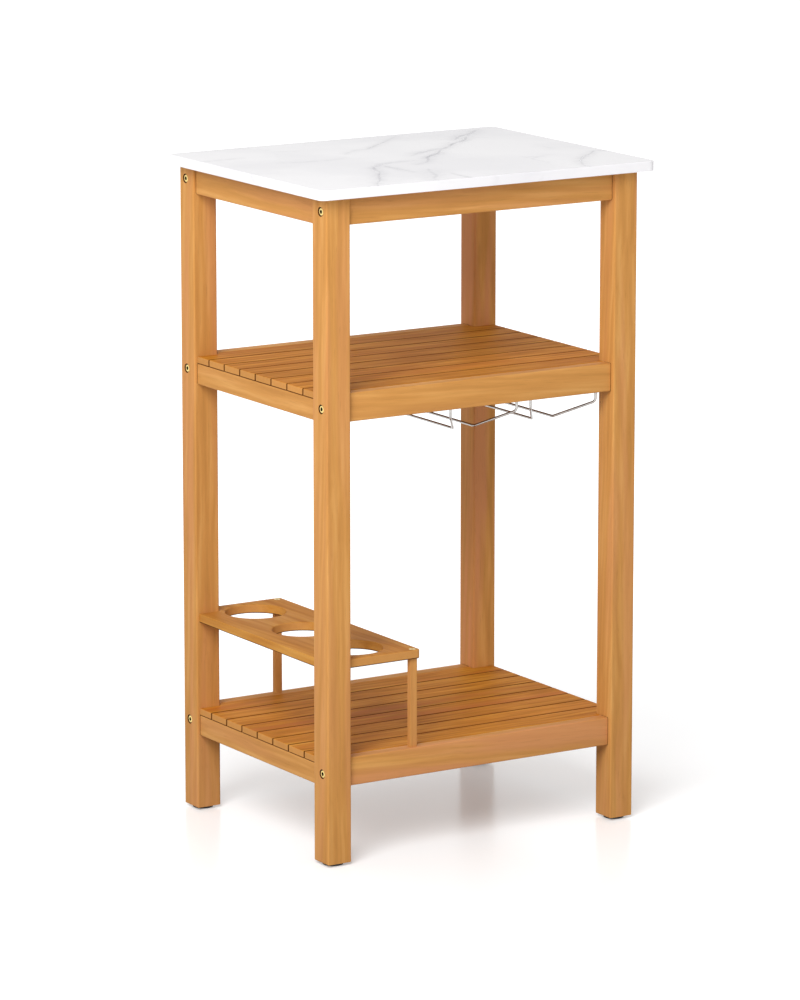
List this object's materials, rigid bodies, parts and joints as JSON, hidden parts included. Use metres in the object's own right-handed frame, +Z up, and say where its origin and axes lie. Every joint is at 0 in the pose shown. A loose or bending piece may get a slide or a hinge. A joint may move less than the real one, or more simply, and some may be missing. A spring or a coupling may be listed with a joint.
{
  "type": "outdoor buffet table",
  "caption": "Tall slender serving table in oiled hardwood with a white stone-look top, slatted shelves, a bottle board and hanging stemware racks.",
  "frame": {"origin": "on the floor plane, below the middle of the top's outline", "axes": "+Z up, +X to the right and -Y towards the front, seen by someone who faces the table"},
  "size_m": [0.52, 0.4, 0.904],
  "materials": {
    "top_stone": "polished, white with soft grey veins",
    "frame_wood": "oiled hardwood, satin",
    "slat_wood": "oiled hardwood, satin, a little redder",
    "dowel_wood": "plain beech",
    "screw_brass": "brass plated",
    "zinc_steel": "zinc plated",
    "rack_chrome": "chrome plated wire",
    "foot_plastic": "black, moulded"
  },
  "bodies": {
    "root": {"table_top": "top_stone", "leg_front_left": "frame_wood", "leg_front_right": "frame_wood", "leg_rear_left": "frame_wood", "leg_rear_right": "frame_wood", "apron_front": "frame_wood", "apron_rear": "frame_wood", "apron_left": "frame_wood", "apron_right": "frame_wood", "mid_rail_front": "frame_wood", "mid_rail_rear": "frame_wood", "mid_rail_left": "frame_wood", "mid_rail_right": "frame_wood", "low_rail_front": "frame_wood", "low_rail_rear": "frame_wood", "low_rail_left": "frame_wood", "low_rail_right": "frame_wood", "mid_slat_1": "slat_wood", "mid_slat_2": "slat_wood", "mid_slat_3": "slat_wood", "mid_slat_4": "slat_wood", "mid_slat_5": "slat_wood", "mid_slat_6": "slat_wood", "mid_slat_7": "slat_wood", "mid_slat_8": "slat_wood", "low_slat_1": "slat_wood", "low_slat_2": "slat_wood", "low_slat_3": "slat_wood", "low_slat_4": "slat_wood", "low_slat_5": "slat_wood", "low_slat_6": "slat_wood", "low_slat_7": "slat_wood", "low_slat_8": "slat_wood", "mid_batten": "frame_wood", "low_batten": "frame_wood", "bottle_board": "slat_wood", "bottle_post_front": "frame_wood", "bottle_post_rear": "frame_wood", "rack_wire_1": "rack_chrome", "rack_wire_2": "rack_chrome", "rack_wire_3": "rack_chrome", "rack_wire_4": "rack_chrome", "foot_front_left": "foot_plastic", "foot_front_right": "foot_plastic", "foot_rear_left": "foot_plastic", "foot_rear_right": "foot_plastic", "frame_bolts": "screw_brass", "barrel_nuts": "zinc_steel", "rail_dowels": "dowel_wood", "side_dowels": "dowel_wood", "batten_dowels": "dowel_wood", "slat_screws": "zinc_steel", "batten_screws": "zinc_steel", "board_screws": "screw_brass", "board_dowels": "dowel_wood", "post_dowels": "dowel_wood", "top_brackets": "zinc_steel", "bracket_screws": "zinc_steel", "top_screws": "zinc_steel", "foot_nails": "zinc_steel"}
  },
  "joints": []
}
